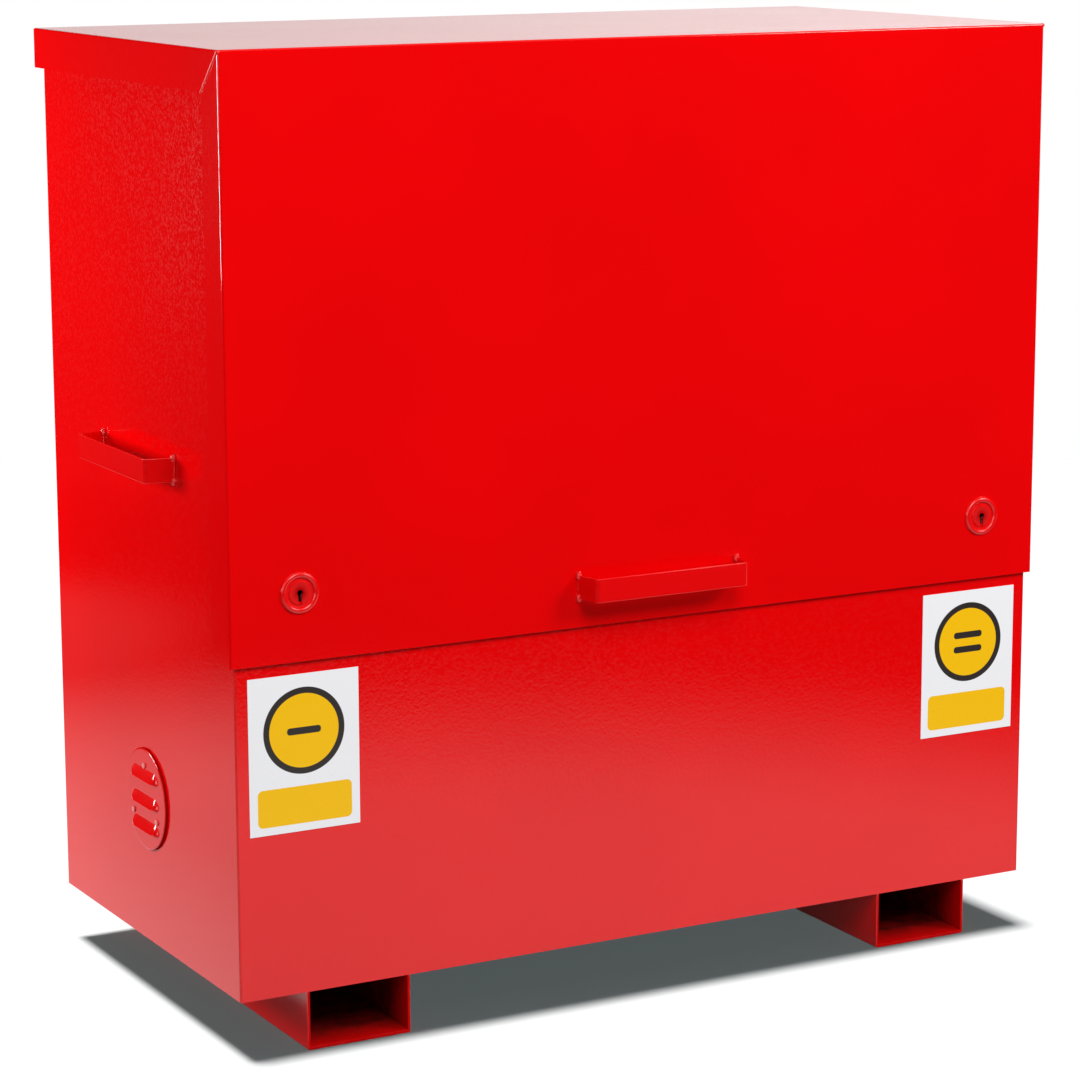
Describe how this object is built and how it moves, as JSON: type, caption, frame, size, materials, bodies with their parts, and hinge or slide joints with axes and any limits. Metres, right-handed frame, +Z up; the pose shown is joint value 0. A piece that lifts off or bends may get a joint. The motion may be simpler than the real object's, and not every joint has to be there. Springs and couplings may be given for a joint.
{
  "type": "hazardous storage chest",
  "caption": "Steel hazardous storage chest with a lift-up lid and front, gas struts, side vents, welded sump, carry handles and fork channels.",
  "frame": {"origin": "on the floor under the middle of the whole chest, handles included", "axes": "+Z up, the front with the locks faces -Y, +X towards the right-hand side seen from the front"},
  "size_m": [1.26, 0.65, 1.25],
  "materials": {
    "red_powder_coat": "glossy red powder coat with a fine orange peel",
    "zinc_plate": "bright zinc plate",
    "gauze": "woven stainless gauze",
    "brass": "machined",
    "black_enamel": "satin black enamel",
    "chrome_rod": "ground and chromed",
    "sign_plastic": "printed rigid sheet",
    "rubber": "moulded"
  },
  "bodies": {
    "chest": {"side_panel_left": "red_powder_coat", "side_panel_right": "red_powder_coat", "back_panel": "red_powder_coat", "front_wall": "red_powder_coat", "sump_tray": "red_powder_coat", "fork_channel_left": "red_powder_coat", "fork_channel_right": "red_powder_coat", "carry_handle_left": "red_powder_coat", "carry_handle_right": "red_powder_coat", "hinge_leaf_body": "red_powder_coat", "hinge_pin": "zinc_plate", "vent_cover_left": "red_powder_coat", "vent_backing_left": "red_powder_coat", "vent_rivets_left": "red_powder_coat", "lock_keeper_left": "red_powder_coat", "strut_bracket_body_left": "red_powder_coat", "vent_gauze_left": "gauze", "strut_stud_body_left": "zinc_plate", "sign_plate_left": "sign_plastic", "vent_cover_right": "red_powder_coat", "vent_backing_right": "red_powder_coat", "vent_rivets_right": "red_powder_coat", "lock_keeper_right": "red_powder_coat", "strut_bracket_body_right": "red_powder_coat", "vent_gauze_right": "gauze", "strut_stud_body_right": "zinc_plate", "sign_plate_right": "sign_plastic", "lid_buffers_top": "rubber", "lid_buffers_front": "rubber"},
    "lid": {"lid_shell": "red_powder_coat", "lid_brace_top": "red_powder_coat", "lid_brace_front": "red_powder_coat", "lid_handle": "red_powder_coat", "hinge_leaf_lid": "red_powder_coat", "lock_rose_left": "red_powder_coat", "strut_bracket_lid_left": "red_powder_coat", "lock_plate_left": "zinc_plate", "lock_case_left": "zinc_plate", "lock_studs_left": "zinc_plate", "lock_nuts_left": "zinc_plate", "strut_stud_lid_left": "zinc_plate", "lock_rose_right": "red_powder_coat", "strut_bracket_lid_right": "red_powder_coat", "lock_plate_right": "zinc_plate", "lock_case_right": "zinc_plate", "lock_studs_right": "zinc_plate", "lock_nuts_right": "zinc_plate", "strut_stud_lid_right": "zinc_plate"},
    "strut_tube_body_left": {"strut_eye_lower_left": "zinc_plate", "strut_tube_left": "black_enamel", "strut_guide_left": "black_enamel"},
    "strut_tube_body_right": {"strut_eye_lower_right": "zinc_plate", "strut_tube_right": "black_enamel", "strut_guide_right": "black_enamel"},
    "strut_rod_body_left": {"strut_eye_upper_left": "zinc_plate", "strut_rod_left": "chrome_rod"},
    "strut_rod_body_right": {"strut_eye_upper_right": "zinc_plate", "strut_rod_right": "chrome_rod"},
    "bolt_left": {"lock_bolt_left": "brass"},
    "bolt_right": {"lock_bolt_right": "brass"}
  },
  "joints": [
    {"name": "lid_hinge", "type": "hinge", "parent": "chest", "child": "lid", "pos_m": [0, 0.317, 1.212], "axis": [-1, 0, 0], "range_deg": [0, 75]},
    {"name": "strut_swing_left", "type": "hinge", "parent": "chest", "child": "strut_tube_body_left", "pos_m": [-0.555, 0.225, 0.988], "axis": [-1, 0, 0], "range_deg": [0, 29.36]},
    {"name": "strut_stroke_left", "type": "slide", "parent": "strut_tube_body_left", "child": "strut_rod_body_left", "axis": [0, -0.3461, 0.9382], "range_m": [0, 0.1505]},
    {"name": "lock_throw_left", "type": "slide", "parent": "lid", "child": "bolt_left", "axis": [-1, 0, 0], "range_m": [0, 0.02]},
    {"name": "strut_swing_right", "type": "hinge", "parent": "chest", "child": "strut_tube_body_right", "pos_m": [0.555, 0.225, 0.988], "axis": [-1, 0, 0], "range_deg": [0, 29.36]},
    {"name": "strut_stroke_right", "type": "slide", "parent": "strut_tube_body_right", "child": "strut_rod_body_right", "axis": [0, -0.3461, 0.9382], "range_m": [0, 0.1505]},
    {"name": "lock_throw_right", "type": "slide", "parent": "lid", "child": "bolt_right", "axis": [1, 0, 0], "range_m": [0, 0.02]}
  ],
  "couplings": [
    {"joint": "strut_swing_left", "follows": "lid_hinge", "ratio": 0.39009},
    {"joint": "strut_stroke_left", "follows": "lid_hinge", "m_per_rad": 0.11457},
    {"joint": "strut_swing_right", "follows": "lid_hinge", "ratio": 0.39009},
    {"joint": "strut_stroke_right", "follows": "lid_hinge", "m_per_rad": 0.11457}
  ]
}
